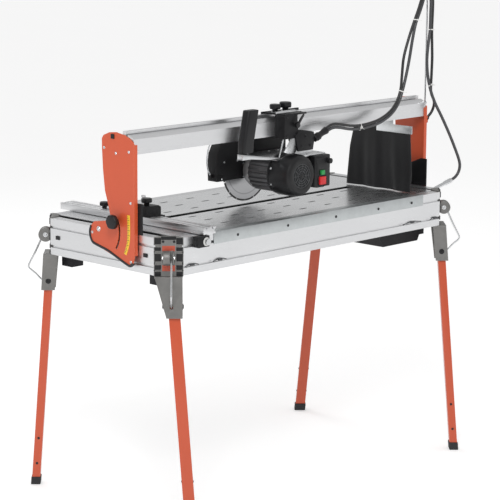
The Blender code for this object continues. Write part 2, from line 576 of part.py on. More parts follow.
FINS = 22
fin_ring = []
for i in range(FINS):
    for share, radius in ((0.0, 0.0715), (0.38, 0.0715), (0.5, 0.0630), (0.88, 0.0630)):
        a = 2 * math.pi * (i + share) / FINS
        fin_ring.append((BLADE_X + radius * math.cos(a), BLADE_Z + radius * math.sin(a)))
motor = add("motor", flat(fin_ring, -0.1985, -0.0850, "Y"), "motor_grey")
join(motor, "motor_nose", turned([(0, 0.0480), (0.010, 0.0560), (0.036, 0.0690), (0.048, 0.0690)],
                                 (BLADE_X, -0.0425, BLADE_Z), (0, -1, 0), 30))
cut(motor, "shaft_bore", rod((BLADE_X, -0.0300, BLADE_Z), (BLADE_X, -0.0640, BLADE_Z), 0.0110, 16))
cut(motor, "motor_seat", box((-0.150, -0.2100, 1.2352), (0.150, -0.0400, 1.2700)))
fan_cover = add("fan_cover", turned([(0, 0.0560), (0.004, 0.0785), (0.078, 0.0785), (0.092, 0.0740),
                                     (0.100, 0.0640), (0.100, 0.0470), (0.097, 0.0455), (0.097, 0.0080),
                                     (0.101, 0.0070)],
                                    (BLADE_X, -0.1990, BLADE_Z), (0, -1, 0), 32), "black_plastic")
cut(fan_cover, "cover_top", box((-0.150, -0.2365, 1.2352), (0.100, -0.1900, 1.2700)))

switch = add("switch_box", box((0.070, -0.2500, 1.1160), (0.158, -0.1850, 1.2357)), "black_plastic")
bevel(switch, 0.004)
join(switch, "socket", rod((0.146, -0.2450, 1.2120), (0.146, -0.2640, 1.2120), 0.0105, 16))
buttons = []
for name, mat, half_x, half_z, z in (("start_button", "start_green", 0.010, 0.0085, 1.1705),
                                     ("stop_button", "stop_red", 0.0165, 0.0150, 1.1400)):
    x = 0.1120
    cut(switch, "pocket_" + name, box((x - half_x - 0.0005, -0.2600, z - half_z - 0.0005),
                                      (x + half_x + 0.0005, -0.2400, z + half_z + 0.0005)))
    button = add(name, box((x - half_x, -0.2570, z - half_z), (x + half_x, -0.2440, z + half_z)), mat)
    bevel(button, 0.0015)
    buttons.append((name, button, Vector((x, -0.2570, z))))
head = rig("head_axis", HEAD_PIVOT, [arm, grip, guard, water, motor, fan_cover, switch], carriage_rig)
for name, button, place in buttons:
    rig(name + "_axis", place, [button], head)

# --------------------------------------------------------- blade and arbor
TEETH = 16
rim = []
for i in range(TEETH):
    for share, radius in ((0.0, BLADE_R), (0.22, BLADE_R), (0.44, BLADE_R), (0.66, BLADE_R), (0.90, BLADE_R),
                          (0.91, BLADE_R - 0.010), (0.98, BLADE_R - 0.010), (0.99, BLADE_R)):
        a = 2 * math.pi * (i + share) / TEETH
        rim.append((BLADE_X + radius * math.cos(a), BLADE_Z + radius * math.sin(a)))
bore = [(BLADE_X + 0.0127 * math.cos(a), BLADE_Z + 0.0127 * math.sin(a))
        for a in [2 * math.pi * i / 20 for i in range(20)]]
blade = add("blade", flat(rim, SLOT_Y - BLADE_T / 2, SLOT_Y + BLADE_T / 2, "Y", [bore]), "blade_steel")
arbor = add("arbor", turned([(0, 0.0090), (0.0210, 0.0090), (0.0210, 0.0150),
                             (0.0360, 0.0150), (0.0360, 0.0290), (0.0405, 0.0290), (0.0405, 0.0120),
                             (0.0440, 0.0120), (0.0440, 0.0280), (0.0480, 0.0280), (0.0480, 0.0130),
                             (0.0520, 0.0130)], (BLADE_X, -0.0540, BLADE_Z), (0, 1, 0), 20), "steel")
rig("blade_axis", (BLADE_X, SLOT_Y, BLADE_Z), [blade, arbor], head)

# ----------------------------------------------------------- cable and hose
CABLE_R, HOSE_R = 0.0055, 0.0060
STRAND_APART = 0.0063         # half the distance between the cable's and the hose's middles
TRUNK = [((0.1371, -0.2451, 1.3275), 1.0), ((0.1560, -0.2459, 1.3357), 1.0), ((0.1790, -0.2475, 1.3400), 1.0),
         ((0.2100, -0.2500, 1.3370), 1.0), ((0.2700, -0.2500, 1.3260), 1.0), ((0.3250, -0.2500, 1.3225), 1.0),
         ((0.3900, -0.2500, 1.3265), 1.0), ((0.4500, -0.2500, 1.3380), 1.0), ((0.5100, -0.2500, 1.3640), 1.0),
         ((0.5480, -0.2500, 1.4000), 1.0), ((0.5700, -0.2500, 1.4450), 1.0), ((0.5830, -0.2500, 1.5000), 2.0),
         ((0.5960, -0.2500, 1.5650), 2.8), ((0.6190, -0.2500, 1.6400), 1.9), ((0.6430, -0.2500, 1.7021), 1.0),
         ((0.6711, -0.2495, 1.7540), 1.0), ((0.7011, -0.2440, 1.8055), 1.0), ((0.7220, -0.2355, 1.8265), 1.0),
         ((0.7505, -0.2225, 1.8345), 1.0)]
FALL = [((0.7790, -0.2100, 1.8270), 1.0), ((0.8000, -0.2025, 1.8060), 1.0), ((0.8085, -0.2000, 1.7760), 1.0),
        ((0.8085, -0.1998, 1.7300), 1.0), ((0.8045, -0.2015, 1.6600), 1.0), ((0.7970, -0.2050, 1.6000), 2.0),
        ((0.7930, -0.2070, 1.5500), 2.6), ((0.7940, -0.2080, 1.4900), 2.0)]
CABLE_END = [(0.8040, -0.2085, 1.4281), (0.8085, -0.2080, 1.4078), (0.8212, -0.2060, 1.3912),
             (0.8340, -0.2022, 1.3746), (0.8385, -0.1970, 1.3543), (0.8329, -0.1910, 1.3318),
             (0.8183, -0.1862, 1.3152)]
HOSE_END = [(0.7930, -0.2140, 1.4300), (0.8110, -0.2240, 1.3760), (0.8420, -0.2360, 1.3170),
            (0.8730, -0.2480, 1.2540), (0.9045, -0.2570, 1.1890), (0.9344, -0.2600, 1.1278),
            (0.9395, -0.2585, 1.1059), (0.9348, -0.2560, 1.0848), (0.9216, -0.2524, 1.0676),
            (0.9040, -0.2496, 1.0580)]


def strand(points, side):
    """Shift a shared route sideways, so the cable and the hose lie next to each other."""
    places = [Vector(p) for p, _ in points]
    result = []
    for i, (place, (_, spread)) in enumerate(zip(places, points)):
        before, after = places[max(i - 1, 0)], places[min(i + 1, len(places) - 1)]
        run = (after - before).normalized()
        flatwise = Vector((-run.z, 0, run.x)).normalized()
        result.append(place + flatwise * side * STRAND_APART * spread)
    return result


cable = tube("power_cable", smooth_path(strand(TRUNK + FALL, 1) + CABLE_END, 0.026), CABLE_R, "rubber")
hose_path = smooth_path(strand(TRUNK + FALL, -1) + HOSE_END, 0.022)
split = max(range(len(hose_path)), key=lambda i: hose_path[i].z)
middle = (hose_path[split] + hose_path[split + 1]) / 2
onward = (hose_path[split + 1] - hose_path[split]).normalized() * GAP
hose_up = tube("hose_upper", hose_path[:split + 1] + [middle], HOSE_R, "hose_grey")
hose_low = tube("hose_lower", [middle + onward] + hose_path[split + 1:], HOSE_R, "hose_grey")
coupling = add("hose_coupling", turned([(0, 0.0080), (0.006, 0.0100), (0.034, 0.0100), (0.040, 0.0078),
                                        (0.118, 0.0070)],
                                       (0.8995, -0.2488, 1.0557), (-0.1190, 0.0190, -0.0360), 14), "steel")
for child in (cable, hose_up, hose_low):
    child.parent = bridge
    child.location = -TILT_AXIS
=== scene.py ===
"""Looks of the bridge saw: camera, cords, curtain, fine details, materials and light."""
import math

import bmesh
import bpy
from mathutils import Matrix, Vector


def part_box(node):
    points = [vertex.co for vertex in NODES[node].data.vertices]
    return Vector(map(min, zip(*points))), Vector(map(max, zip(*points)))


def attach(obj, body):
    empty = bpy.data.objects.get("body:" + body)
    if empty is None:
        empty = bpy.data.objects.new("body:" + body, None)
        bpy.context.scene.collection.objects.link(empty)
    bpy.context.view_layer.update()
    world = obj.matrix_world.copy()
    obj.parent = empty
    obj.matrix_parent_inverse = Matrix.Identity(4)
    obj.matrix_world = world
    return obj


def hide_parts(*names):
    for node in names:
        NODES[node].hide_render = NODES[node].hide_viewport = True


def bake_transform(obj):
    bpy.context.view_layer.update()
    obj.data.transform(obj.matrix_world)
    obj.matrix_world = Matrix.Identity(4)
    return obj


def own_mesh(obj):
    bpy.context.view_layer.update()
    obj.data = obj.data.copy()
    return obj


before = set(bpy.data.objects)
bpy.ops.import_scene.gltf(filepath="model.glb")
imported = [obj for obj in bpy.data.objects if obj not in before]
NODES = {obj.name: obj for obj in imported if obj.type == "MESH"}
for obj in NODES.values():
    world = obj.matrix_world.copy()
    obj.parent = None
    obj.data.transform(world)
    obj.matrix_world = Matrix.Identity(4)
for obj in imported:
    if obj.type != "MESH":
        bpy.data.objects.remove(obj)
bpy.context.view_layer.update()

# ------------------------------------------------------------------ camera
SENSOR, LENS = 36.0, 146.43
CAMERA_PLACE = Vector((-5.5342, -5.2596, 2.3235))
AZIMUTH, ELEVATION, ROLL = (math.radians(a) for a in (-46.382, 10.892, 0.401))


def make_camera():
    """Camera on the operator's left, turned by azimuth and elevation, then rolled."""
    back = Vector((math.sin(AZIMUTH) * math.cos(ELEVATION), -math.cos(AZIMUTH) * math.cos(ELEVATION),
                   math.sin(ELEVATION)))
    right = Vector((math.cos(AZIMUTH), math.sin(AZIMUTH), 0))
    up = back.cross(right)
    rolled = right * math.cos(ROLL) + up * math.sin(ROLL)
    turn = Matrix((rolled, back.cross(rolled), back)).transposed()
    data = bpy.data.cameras.new("camera")
    data.sensor_width, data.lens = SENSOR, LENS
    data.clip_start, data.clip_end = 0.1, 300
    camera = bpy.data.objects.new("camera", data)
    bpy.context.scene.collection.objects.link(camera)
    camera.matrix_world = Matrix.Translation(CAMERA_PLACE) @ turn.to_4x4()
    bpy.context.scene.camera = camera


make_camera()


# --------------------------------------------------------------- materials
def nodes_of(name):
    material = bpy.data.materials.new(name)
    material.use_nodes = True
    return material, material.node_tree.nodes, material.node_tree.links


def noise(nodes, links, vector, scale, detail=4.0, rough=0.55):
    texture = nodes.new("ShaderNodeTexNoise")
    texture.inputs["Scale"].default_value = scale
    texture.inputs["Detail"].default_value = detail
    texture.inputs["Roughness"].default_value = rough
    links.new(vector, texture.inputs["Vector"])
    return texture.outputs["Fac"]


def spread(nodes, links, value, low, high, start=0.3, stop=0.7):
    """Map a noise value onto low..high."""
    node = nodes.new("ShaderNodeMapRange")
    for socket, number in (("From Min", start), ("From Max", stop), ("To Min", low), ("To Max", high)):
        node.inputs[socket].default_value = number
    links.new(value, node.inputs["Value"])
    return node.outputs["Result"]


def mix(nodes, links, factor, first, second):
    """Mix two colours, each a colour or a socket."""
    node = nodes.new("ShaderNodeMix")
    node.data_type = "RGBA"
    links.new(factor, node.inputs["Factor"])
    for socket, value in ((node.inputs[6], first), (node.inputs[7], second)):
        if isinstance(value, tuple):
            socket.default_value = (*value, 1.0)
        else:
            links.new(value, socket)
    return node.outputs[2]


def shade(colour, share):
    return tuple(min(1.0, c * share) for c in colour)


def edges(nodes, links, radius):
    """1 on sharp edges and 0 on flat faces, from how far a rounded normal leans."""
    rounded = nodes.new("ShaderNodeBevel")
    rounded.samples = 4
    rounded.inputs["Radius"].default_value = radius
    flat = nodes.new("ShaderNodeNewGeometry")
    dot = nodes.new("ShaderNodeVectorMath")
    dot.operation = "DOT_PRODUCT"
    links.new(rounded.outputs["Normal"], dot.inputs[0])
    links.new(flat.outputs["Normal"], dot.inputs[1])
    return spread(nodes, links, dot.outputs["Value"], 1.0, 0.0, 0.78, 0.97)


def surface(name, colour, roughness, metallic=0.0, patch=6.0, mottle=0.08, grain=320.0, stretch=(1, 1, 1),
            rough_spread=0.06, bump=0.12, depth=0.0004, edge_wear_and_shade=None, edge_wear_and_shade_radius=0.0012, coat=0.0, gloss=0.5,
            beyond=None):
    """Procedural finish: soft patches of colour, a fine grain in gloss and relief, and a colour on sharp
    edges: worn edges on most finishes, painted shade at the rims of the table's slots and holes.

    stretch below 1 draws the grain out along that axis, as brushing or extrusion does. beyond is a Y and the
    colour that the piece has past it.
    """
    material, nodes, links = nodes_of(name)
    shader = nodes["Principled BSDF"]
    place = nodes.new("ShaderNodeTexCoord").outputs["Object"]
    mapping = nodes.new("ShaderNodeMapping")
    mapping.inputs["Scale"].default_value = stretch
    links.new(place, mapping.inputs["Vector"])
    patches = noise(nodes, links, place, patch)
    fine = noise(nodes, links, mapping.outputs["Vector"], grain, 3.0)
    level = nodes.new("ShaderNodeMath")
    level.operation = "MULTIPLY_ADD"
    level.inputs[1].default_value = 0.45
    links.new(fine, level.inputs[0])
    links.new(spread(nodes, links, patches, 0.0, 0.55), level.inputs[2])
    tone = mix(nodes, links, level.outputs["Value"], shade(colour, 1 - mottle), shade(colour, 1 + mottle))
    if beyond:
        along = nodes.new("ShaderNodeSeparateXYZ")
        links.new(place, along.inputs[0])
        past = spread(nodes, links, along.outputs["Y"], 0.0, 1.0, beyond[0], beyond[0] + 0.0005)
        tone = mix(nodes, links, past, tone, beyond[1])
    # Edge colour: wear on most finishes; on the table it is dark painted shade round its slots and holes.
    if edge_wear_and_shade:
        tone = mix(nodes, links, edges(nodes, links, edge_wear_and_shade_radius), tone, edge_wear_and_shade)
    links.new(tone, shader.inputs["Base Color"])
    links.new(spread(nodes, links, fine, roughness - rough_spread, roughness + rough_spread),
              shader.inputs["Roughness"])
    shader.inputs["Metallic"].default_value = metallic
    shader.inputs["Coat Weight"].default_value = coat
    shader.inputs["Specular IOR Level"].default_value = gloss
    relief = nodes.new("ShaderNodeBump")
    relief.inputs["Strength"].default_value = bump
    relief.inputs["Distance"].default_value = depth
    links.new(fine, relief.inputs["Height"])
    links.new(relief.outputs["Normal"], shader.inputs["Normal"])
    return material


ALU = (0.72, 0.725, 0.735)
FINISH = {
    "orange": surface("orange_paint", (0.60, 0.085, 0.026), 0.42, patch=3, mottle=0.05, grain=900, bump=0.10,
                      edge_wear_and_shade=(0.80, 0.24, 0.12), coat=0.15),
    "orange_leg": surface("orange_legs", (0.54, 0.076, 0.024), 0.36, patch=4, mottle=0.06, grain=700,
                          stretch=(1, 1, 0.15), bump=0.10, edge_wear_and_shade=(0.80, 0.24, 0.12), coat=0.2),
    "alu_x": surface("extrusion_along_x", ALU, 0.36, 1.0, patch=2.2, mottle=0.07, grain=420,
                     stretch=(0.02, 1, 1), rough_spread=0.09, bump=0.16, edge_wear_and_shade=(0.9, 0.9, 0.91)),
    "alu_y": surface("extrusion_along_y", ALU, 0.36, 1.0, patch=2.2, mottle=0.07, grain=420,
                     stretch=(1, 0.02, 1), rough_spread=0.09, bump=0.16, edge_wear_and_shade=(0.9, 0.9, 0.91)),
    "sheet": surface("galvanised_sheet", (0.74, 0.76, 0.77), 0.34, 1.0, patch=38, mottle=0.10, grain=180,
                     rough_spread=0.08, bump=0.06),
    "strip": surface("strip_sheet", (0.50, 0.525, 0.53), 0.36, 1.0, patch=30, mottle=0.10, grain=180,
                     rough_spread=0.08, bump=0.06),
    # The near-black edge colour of the table is painted shade, darkening the rims of its slots and holes.
    "table": surface("table_steel", (0.84, 0.85, 0.86), 0.28, 1.0, patch=3.5, mottle=0.06, grain=520,
                     stretch=(0.03, 1, 1), rough_spread=0.08, bump=0.10, edge_wear_and_shade=(0.06, 0.06, 0.065),
                     edge_wear_and_shade_radius=0.0026),
    "cast": surface("cast_alloy", (0.20, 0.197, 0.19), 0.48, 0.75, patch=30, mottle=0.14, grain=650,
                    bump=0.35, edge_wear_and_shade=(0.46, 0.455, 0.45)),
    "steel": surface("bright_steel", (0.62, 0.63, 0.64), 0.26, 1.0, patch=24, mottle=0.08, grain=900,
                     rough_spread=0.07, bump=0.08),
    "motor": surface("motor_alloy", (0.11, 0.11, 0.114), 0.44, 0.55, patch=26, mottle=0.16, grain=800,
                     bump=0.3, edge_wear_and_shade=(0.36, 0.36, 0.37), beyond=(-0.0905, (0.42, 0.42, 0.425))),
    "plastic": surface("moulded_plastic", (0.010, 0.010, 0.011), 0.46, patch=20, mottle=0.20, grain=1500,
                       bump=0.22, edge_wear_and_shade=(0.060, 0.060, 0.064), gloss=0.28),
    "satin": surface("satin_plastic", (0.009, 0.009, 0.010), 0.34, patch=18, mottle=0.20, grain=1800,
                     bump=0.10, edge_wear_and_shade=(0.08, 0.08, 0.085), gloss=0.32),
    "alloy": surface("black_alloy", (0.012, 0.012, 0.013), 0.42, 0.3, patch=16, mottle=0.18, grain=1100,
                     bump=0.30, edge_wear_and_shade=(0.08, 0.08, 0.085), gloss=0.28),
    "tray": surface("tray_plastic", (0.011, 0.011, 0.013), 0.60, patch=5, mottle=0.18, grain=500, bump=0.3,
                    edge_wear_and_shade=(0.06, 0.06, 0.064), gloss=0.25),
    "rubber": surface("rubber", (0.028, 0.028, 0.030), 0.55, patch=9, mottle=0.22, grain=900, bump=0.25,
                      edge_wear_and_shade=(0.05, 0.05, 0.052), gloss=0.30),
    "curtain": surface("curtain_rubber", (0.011, 0.011, 0.012), 0.42, patch=6, mottle=0.25, grain=260,
                       rough_spread=0.08, bump=0.20, gloss=0.30),
    "cable": surface("cable_sheath", (0.016, 0.016, 0.017), 0.36, patch=14, mottle=0.2, grain=1400,
                     bump=0.12),
    "hose": surface("hose_sheath", (0.052, 0.053, 0.057), 0.33, patch=14, mottle=0.2, grain=1000, bump=0.12),
    "green": surface("start_green", (0.02, 0.30, 0.07), 0.32, patch=60, mottle=0.1, grain=1600, bump=0.08,
                     edge_wear_and_shade=(0.10, 0.45, 0.15)),
    "red": surface("stop_red", (0.66, 0.018, 0.022), 0.30, patch=60, mottle=0.1, grain=1600, bump=0.08,
                   edge_wear_and_shade=(0.85, 0.12, 0.12)),
    "yellow": surface("scale_yellow", (0.88, 0.56, 0.03), 0.45, patch=80, mottle=0.1, grain=1500, bump=0.06),
    "tie": surface("white_nylon", (0.78, 0.78, 0.76), 0.42, patch=60, mottle=0.06, grain=900, bump=0.12),
    "clip": surface("clip_plastic", (0.045, 0.047, 0.05), 0.42, patch=40, mottle=0.2, grain=1200, bump=0.2),
    "brick": surface("recess_paint", (0.50, 0.085, 0.045), 0.50, patch=40, mottle=0.14, grain=900, bump=0.2),
}


def clear_plastic(name, tint, roughness, clearness):
    """Milky see-through plastic with a faint cloudiness."""
    material, nodes, links = nodes_of(name)
    shader = nodes["Principled BSDF"]
    place = nodes.new("ShaderNodeTexCoord").outputs["Object"]
    cloud = noise(nodes, links, place, 40.0)
    links.new(mix(nodes, links, cloud, shade(tint, 0.92), shade(tint, 1.05)), shader.inputs["Base Color"])
    links.new(spread(nodes, links, cloud, roughness, roughness + 0.12), shader.inputs["Roughness"])
    shader.inputs["Transmission Weight"].default_value = clearness
    shader.inputs["IOR"].default_value = 1.42
    return material


FINISH["clear"] = clear_plastic("clear_tube", (0.86, 0.88, 0.90), 0.12, 0.55)
FINISH["milky"] = clear_plastic("milky_gauge", (0.90, 0.91, 0.92), 0.25, 0.65)


def disc_material(centre):
    """Ground steel core with turned rings, and a rough diamond rim further out."""
    material, nodes, links = nodes_of("diamond_disc")
    shader = nodes["Principled BSDF"]
    place = nodes.new("ShaderNodeTexCoord").outputs["Object"]
    offset = nodes.new("ShaderNodeVectorMath")
    offset.operation = "SUBTRACT"
    offset.inputs[1].default_value = centre
    links.new(place, offset.inputs[0])
    flat = nodes.new("ShaderNodeVectorMath")
    flat.operation = "MULTIPLY"
    flat.inputs[1].default_value = (1, 0, 1)
    links.new(offset.outputs["Vector"], flat.inputs[0])
    far = nodes.new("ShaderNodeVectorMath")
    far.operation = "LENGTH"
    links.new(flat.outputs["Vector"], far.inputs[0])
    radius = far.outputs["Value"]
    rings = nodes.new("ShaderNodeTexNoise")
    rings.noise_dimensions = "1D"
    rings.inputs["Scale"].default_value = 900.0
    links.new(radius, rings.inputs["W"])
    grit = noise(nodes, links, place, 1400.0, 2.0)
    core = mix(nodes, links, rings.outputs["Fac"], (0.50, 0.50, 0.51), (0.66, 0.66, 0.67))
    print_ring = spread(nodes, links, radius, 0.0, 1.0, 0.0955, 0.0965)
    print_end = spread(nodes, links, radius, 1.0, 0.0, 0.0995, 0.1005)
    band = nodes.new("ShaderNodeMath")
    band.operation = "MULTIPLY"
    links.new(print_ring, band.inputs[0])
    links.new(print_end, band.inputs[1])
    marked = mix(nodes, links, band.outputs["Value"], core, (0.40, 0.40, 0.41))
    rim = spread(nodes, links, radius, 0.0, 1.0, 0.1180, 0.1186)
    gritty = mix(nodes, links, grit, (0.07, 0.07, 0.07), (0.15, 0.15, 0.147))
    links.new(mix(nodes, links, rim, marked, gritty), shader.inputs["Base Color"])
    links.new(spread(nodes, links, rim, 0.30, 0.62, 0.0, 1.0), shader.inputs["Roughness"])
    shader.inputs["Metallic"].default_value = 0.85
    relief = nodes.new("ShaderNodeBump")
    relief.inputs["Strength"].default_value = 0.12
    relief.inputs["Distance"].default_value = 0.0003
    links.new(rings.outputs["Fac"], relief.inputs["Height"])
    links.new(relief.outputs["Normal"], shader.inputs["Normal"])
    return material


# ------------------------------------------------------------ mesh helpers
def loft(rings, closed=True, cyclic=False):
    """Solid or open surface through rings of equal length; cyclic closes it along the rings alone."""
    bm = bmesh.new()
    rows = [[bm.verts.new(p) for p in ring] for ring in rings]
    count = len(rows[0])
    for low, high in zip(rows, rows[1:]):
        for i in range(count if closed or cyclic else count - 1):
            j = (i + 1) % count
            bm.faces.new((low[i], low[j], high[j], high[i]))
    if closed:
        bm.faces.new(rows[0])
        bm.faces.new(rows[-1])
    bmesh.ops.remove_doubles(bm, verts=bm.verts, dist=1e-6)
    return bm


def axes_for(direction):
    w = Vector(direction).normalized()
    u = w.orthogonal().normalized()
    if abs(w.z) < 0.9:
        u = Vector((0, 0, 1)).cross(w).normalized()
    return u, w.cross(u), w


def turned(profile, start, direction, sides=32):
    """Solid of revolution from (distance along, radius) pairs."""
    u, v, w = axes_for(direction)
    start = Vector(start)
    return loft([[start + w * along + (u * math.cos(2 * math.pi * i / sides)
                                       + v * math.sin(2 * math.pi * i / sides)) * radius
                  for i in range(sides)] for along, radius in profile])


def block(lo, hi):
    """Box between two opposite corners."""
    lo, hi = Vector(lo), Vector(hi)
    bm = bmesh.new()
    bmesh.ops.create_cube(bm, size=1.0, matrix=Matrix.LocRotScale((lo + hi) / 2, None, hi - lo))
    return bm


def swept(points, radius, sides=12, flat=1.0):
    """Tube along points, with its rings carried along without twist; flat squeezes the section."""
    points = [Vector(p) for p in points]
    run = (points[1] - points[0]).normalized()
    side = run.orthogonal().normalized()
    rings = []
    for i, place in enumerate(points):
        after, before = points[min(i + 1, len(points) - 1)], points[max(i - 1, 0)]
        run = (after - before).normalized()
        side = (side - run * side.dot(run)).normalized()
        other = run.cross(side)
        rings.append([place + side * math.cos(2 * math.pi * k / sides) * radius
                      + other * math.sin(2 * math.pi * k / sides) * radius * flat for k in range(sides)])
    return loft(rings)


def merged(parts):
    """One mesh out of several."""
    whole = bmesh.new()
    for part in parts:
        mesh = bpy.data.meshes.new("part")
        part.to_mesh(mesh)
        part.free()
        whole.from_mesh(mesh)
        bpy.data.meshes.remove(mesh)
    return whole


def piece(name, bm, finish, body=None, bevel=0.0, segments=2, smooth=35):
    """Finished piece: smooth by angle, rounded edges, its material, and the body it rides on."""
    bmesh.ops.recalc_face_normals(bm, faces=bm.faces)
    mesh = bpy.data.meshes.new(name)
    bm.to_mesh(mesh)
    bm.free()
    mesh.shade_smooth()
    mesh.set_sharp_from_angle(angle=math.radians(smooth))
    mesh.materials.append(FINISH[finish])
    obj = bpy.data.objects.new(name, mesh)
    bpy.context.scene.collection.objects.link(obj)
    if bevel:
        add_bevel(obj, bevel, segments)
    if body:
        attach(obj, body)
    return obj


def add_bevel(obj, width, segments):
    rounded = obj.modifiers.new("bevel", "BEVEL")
    rounded.width, rounded.segments = width, segments
    rounded.limit_method = "ANGLE"
    rounded.angle_limit = math.radians(30)
    rounded.use_clamp_overlap = True


def smooth_path(points, spacing):
    """Centripetal Catmull-Rom curve through the points, evenly resampled."""
    pts = [Vector(p) for p in points]
    pts = [pts[0] * 2 - pts[1]] + pts + [pts[-1] * 2 - pts[-2]]
    dense = []
    for p0, p1, p2, p3 in zip(pts, pts[1:], pts[2:], pts[3:]):
        t0 = 0.0
        t1 = t0 + (p1 - p0).length ** 0.5
        t2 = t1 + (p2 - p1).length ** 0.5
        t3 = t2 + (p3 - p2).length ** 0.5
        for i in range(24):
            t = t1 + (t2 - t1) * i / 24
            a1 = p0 * ((t1 - t) / (t1 - t0)) + p1 * ((t - t0) / (t1 - t0))
            a2 = p1 * ((t2 - t) / (t2 - t1)) + p2 * ((t - t1) / (t2 - t1))
            a3 = p2 * ((t3 - t) / (t3 - t2)) + p3 * ((t - t2) / (t3 - t2))
            b1 = a1 * ((t2 - t) / (t2 - t0)) + a2 * ((t - t0) / (t2 - t0))
            b2 = a2 * ((t3 - t) / (t3 - t1)) + a3 * ((t - t1) / (t3 - t1))
            dense.append(b1 * ((t2 - t) / (t2 - t1)) + b2 * ((t - t1) / (t2 - t1)))
    dense.append(pts[-2].copy())
    total = length_of(dense)
    count = max(2, round(total / spacing))
    result, travelled, target = [dense[0]], 0.0, total / count
    for a, b in zip(dense, dense[1:]):
        step = (b - a).length
        while step and travelled + step >= target - 1e-9 and len(result) < count:
            result.append(a.lerp(b, (target - travelled) / step))
            target += total / count
        travelled += step
    return result + [dense[-1]]


def length_of(points):
    return sum((b - a).length for a, b in zip(points, points[1:]))


# ------------------------------------------------------------------- cords
CABLE_R, HOSE_R = 0.0055, 0.0060
STRAND_APART = 0.0063
TRUNK = [((0.1371, -0.2451, 1.3275), 1.0), ((0.1560, -0.2459, 1.3357), 1.0), ((0.1790, -0.2475, 1.3400), 1.0),
         ((0.2100, -0.2500, 1.3370), 1.0), ((0.2700, -0.2500, 1.3260), 1.0), ((0.3250, -0.2500, 1.3225), 1.0),
         ((0.3900, -0.2500, 1.3265), 1.0), ((0.4500, -0.2500, 1.3380), 1.0), ((0.5100, -0.2500, 1.3640), 1.0),
         ((0.5480, -0.2500, 1.4000), 1.0), ((0.5700, -0.2500, 1.4450), 1.0), ((0.5830, -0.2500, 1.5000), 2.0),
         ((0.5960, -0.2500, 1.5650), 2.8), ((0.6190, -0.2500, 1.6400), 1.9), ((0.6430, -0.2500, 1.7021), 1.0),
         ((0.6711, -0.2495, 1.7540), 1.0), ((0.7011, -0.2440, 1.8055), 1.0), ((0.7220, -0.2355, 1.8265), 1.0),
         ((0.7505, -0.2225, 1.8345), 1.0)]
FALL = [((0.7790, -0.2100, 1.8270), 1.0), ((0.8000, -0.2025, 1.8060), 1.0), ((0.8085, -0.2000, 1.7760), 1.0),
        ((0.8085, -0.1998, 1.7300), 1.0), ((0.8045, -0.2015, 1.6600), 1.0), ((0.7970, -0.2050, 1.6000), 2.0),
        ((0.7930, -0.2070, 1.5500), 2.6), ((0.7940, -0.2080, 1.4900), 2.0)]
CABLE_END = [(0.8040, -0.2085, 1.4281), (0.8085, -0.2080, 1.4078), (0.8212, -0.2060, 1.3912),
             (0.8340, -0.2022, 1.3746), (0.8385, -0.1970, 1.3543), (0.8329, -0.1910, 1.3318),
             (0.8183, -0.1862, 1.3152)]
HOSE_END = [(0.7930, -0.2140, 1.4300), (0.8110, -0.2240, 1.3760), (0.8420, -0.2360, 1.3170),
            (0.8730, -0.2480, 1.2540), (0.9045, -0.2570, 1.1890), (0.9344, -0.2600, 1.1278),
            (0.9395, -0.2585, 1.1059), (0.9348, -0.2560, 1.0848), (0.9216, -0.2524, 1.0676),
            (0.9040, -0.2496, 1.0580)]
LOOP_START, LOOP_TOP = TRUNK[0][0], TRUNK[-1][0]
HOSE_PITCH = 0.022            # spacing of the CAD hose's points, which sets where it is split


def strand(points, side):
    """Shift a shared route sideways, so the cable and the hose lie next to each other."""
    places = [Vector(p) for p, _ in points]
    result = []
    for i, (place, (_, apart)) in enumerate(zip(places, points)):
        before, after = places[max(i - 1, 0)], places[min(i + 1, len(places) - 1)]
        run = (after - before).normalized()
        flatwise = Vector((-run.z, 0, run.x)).normalized()
        result.append(place + flatwise * side * STRAND_APART * apart)
    return result


def free_cord(name, node, route, radius, finish, bodies, start, end, **facts):
    """Mesh cord along a fine route, replacing the CAD node, which is hidden."""
    obj = piece(name, swept(route, radius, 14), finish,
                smooth=60)
    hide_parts(node)
    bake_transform(obj)
    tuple(start)
    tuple(end)
    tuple(route[0])
    length_of(route)
    return obj


def make_cords():
    fine = 0.009
    cable = smooth_path(strand(TRUNK + FALL, 1) + CABLE_END, fine)
    free_cord("cable_sheath", "power_cable", cable, CABLE_R, "cable", ("carriage", "bridge"), LOOP_START,
              LOOP_TOP, far_end="object", stiffness="medium", lay="hanging")
    hose = smooth_path(strand(TRUNK + FALL, -1) + HOSE_END, HOSE_PITCH)
    split = max(range(len(hose)), key=lambda i: hose[i].z)
    middle = (hose[split] + hose[split + 1]) / 2
    rise = smooth_path(hose[:split + 1] + [middle], fine)
    fall = smooth_path([middle] + hose[split + 1:], fine)
    joiner = piece("hose_joiner", swept(rise[-3:] + fall[1:3], 0.0078, 16), "satin", "bridge",
                   bevel=0.0012)
    free_cord("hose_rise", "hose_upper", rise, HOSE_R, "hose", ("carriage", "bridge"), LOOP_START, LOOP_TOP,
              far_end="connector", stiffness="medium", lay="hanging", with_pieces=[joiner])
    free_cord("hose_fall", "hose_lower", fall, HOSE_R, "hose", ("bridge", "frame"), (0.805, -0.200, 1.620),
              (0.910, -0.252, 1.065), far_end="connector", stiffness="medium", lay="hanging",
              with_pieces=[NODES["hose_coupling"]])
    return cable, rise, fall


CABLE, HOSE_RISE, HOSE_FALL = make_cords()


def at_height(route, height, low=True):
    """Index of the route's first or last point that passes a height."""
    hits = [i for i in range(1, len(route) - 1) if (route[i].z - height) * (route[i + 1].z - height) <= 0]
    return hits[0] if low else hits[-1]


